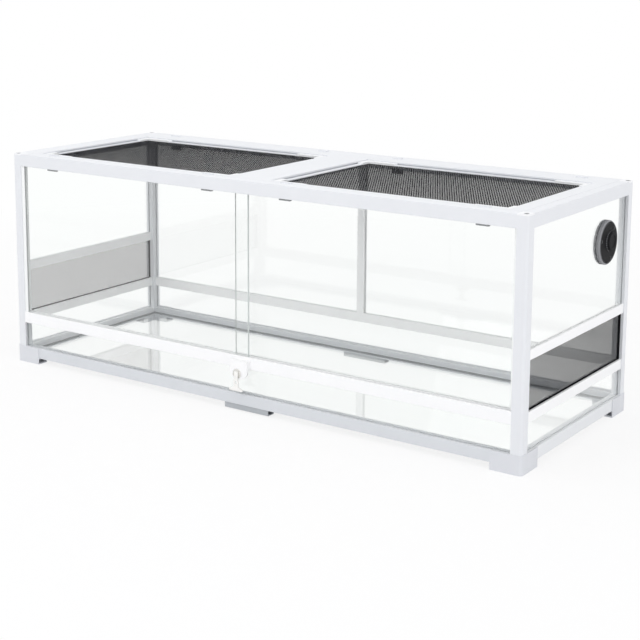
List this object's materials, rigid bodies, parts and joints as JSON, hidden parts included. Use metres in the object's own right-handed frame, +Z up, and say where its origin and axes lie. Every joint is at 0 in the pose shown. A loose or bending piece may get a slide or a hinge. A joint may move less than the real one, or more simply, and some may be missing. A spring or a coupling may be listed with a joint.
{
  "type": "reptile terrarium",
  "caption": "Long low glass terrarium in a white profile frame, with sliding front doors, lift-off screen lids, side vents, a door lock and a cable port.",
  "frame": {"origin": "bottom centre of the terrarium, on the ground the feet stand on", "axes": "+X along the length to the end with the cable port, +Y from the doors to the back, +Z up"},
  "size_m": [1.2251, 0.4632, 0.459],
  "materials": {
    "white_frame": "white extruded PVC, satin",
    "pane": "clear float glass with polished green edges",
    "screen_mesh": "black-coated perforated steel sheet",
    "grey_clip": "grey moulded plastic",
    "screw_steel": "zinc-plated screw",
    "lock_metal": "polished plating",
    "key_plastic": "off-white moulded plastic",
    "port_plastic": "black moulded plastic"
  },
  "bodies": {
    "tank": {"post_front_left": "white_frame", "post_front_right": "white_frame", "post_back_left": "white_frame", "post_back_right": "white_frame", "foot_front_left": "white_frame", "foot_front_right": "white_frame", "foot_back_left": "white_frame", "foot_back_right": "white_frame", "centre_feet": "white_frame", "bottom_rail_front": "white_frame", "bottom_rail_back": "white_frame", "bottom_rail_left": "white_frame", "bottom_rail_right": "white_frame", "top_rail_front": "white_frame", "top_rail_back": "white_frame", "top_rail_left": "white_frame", "top_rail_right": "white_frame", "top_centre_bar": "white_frame", "lower_door_track": "white_frame", "upper_door_track": "white_frame", "back_mid_rail": "white_frame", "back_mullion": "white_frame", "side_mid_rail_left": "white_frame", "side_mid_rail_right": "white_frame", "side_vent_rail_left": "white_frame", "side_vent_rail_right": "white_frame", "post_caps": "white_frame", "lock_housing": "white_frame", "floor_glass": "pane", "front_lower_glass": "pane", "back_lower_glass": "pane", "side_lower_glass_left": "pane", "side_lower_glass_right": "pane", "side_upper_glass_left": "pane", "side_upper_glass_right": "pane", "back_upper_glass_left": "pane", "back_upper_glass_right": "pane", "side_vent_left": "screen_mesh", "side_vent_right": "screen_mesh", "door_channel_left": "grey_clip", "door_channel_right": "grey_clip", "top_clips": "grey_clip", "post_screws": "screw_steel", "foot_screws": "screw_steel", "port_screws": "screw_steel", "port_flange": "port_plastic", "port_ring": "port_plastic"},
    "front_door": {"front_door": "pane"},
    "rear_door": {"rear_door": "pane"},
    "left_lid": {"lid_frame_left": "white_frame", "lid_corners_left": "white_frame", "lid_mesh_left": "screen_mesh"},
    "right_lid": {"lid_frame_right": "white_frame", "lid_corners_right": "white_frame", "lid_mesh_right": "screen_mesh"},
    "lock_core": {"lock_cylinder": "lock_metal"},
    "key": {"lock_key": "key_plastic"},
    "port_disc": {"port_disc": "port_plastic"},
    "port_cap": {"port_cap": "port_plastic"}
  },
  "joints": [
    {"name": "front_door_slide", "type": "slide", "parent": "tank", "child": "front_door", "axis": [1, 0, 0], "range_m": [0, 0.5665]},
    {"name": "rear_door_slide", "type": "slide", "parent": "tank", "child": "rear_door", "axis": [-1, 0, 0], "range_m": [0, 0.5665]},
    {"name": "left_lid_lift", "type": "slide", "parent": "tank", "child": "left_lid", "axis": [0, 0, 1], "range_m": [0, 0.1]},
    {"name": "right_lid_lift", "type": "slide", "parent": "tank", "child": "right_lid", "axis": [0, 0, 1], "range_m": [0, 0.1]},
    {"name": "lock_turn", "type": "hinge", "parent": "tank", "child": "lock_core", "pos_m": [0.002, -0.234, 0.079], "axis": [0, -1, 0], "range_deg": [0, 90]},
    {"name": "key_pull", "type": "slide", "parent": "lock_core", "child": "key", "axis": [0, -1, 0], "range_m": [0, 0.012]},
    {"name": "port_disc_turn", "type": "hinge", "parent": "tank", "child": "port_disc", "pos_m": [0.6025, 0.1125, 0.354], "axis": [1, 0, 0], "continuous": true},
    {"name": "port_cap_pull", "type": "slide", "parent": "port_disc", "child": "port_cap", "axis": [1, 0, 0], "range_m": [0, 0.03]}
  ]
}
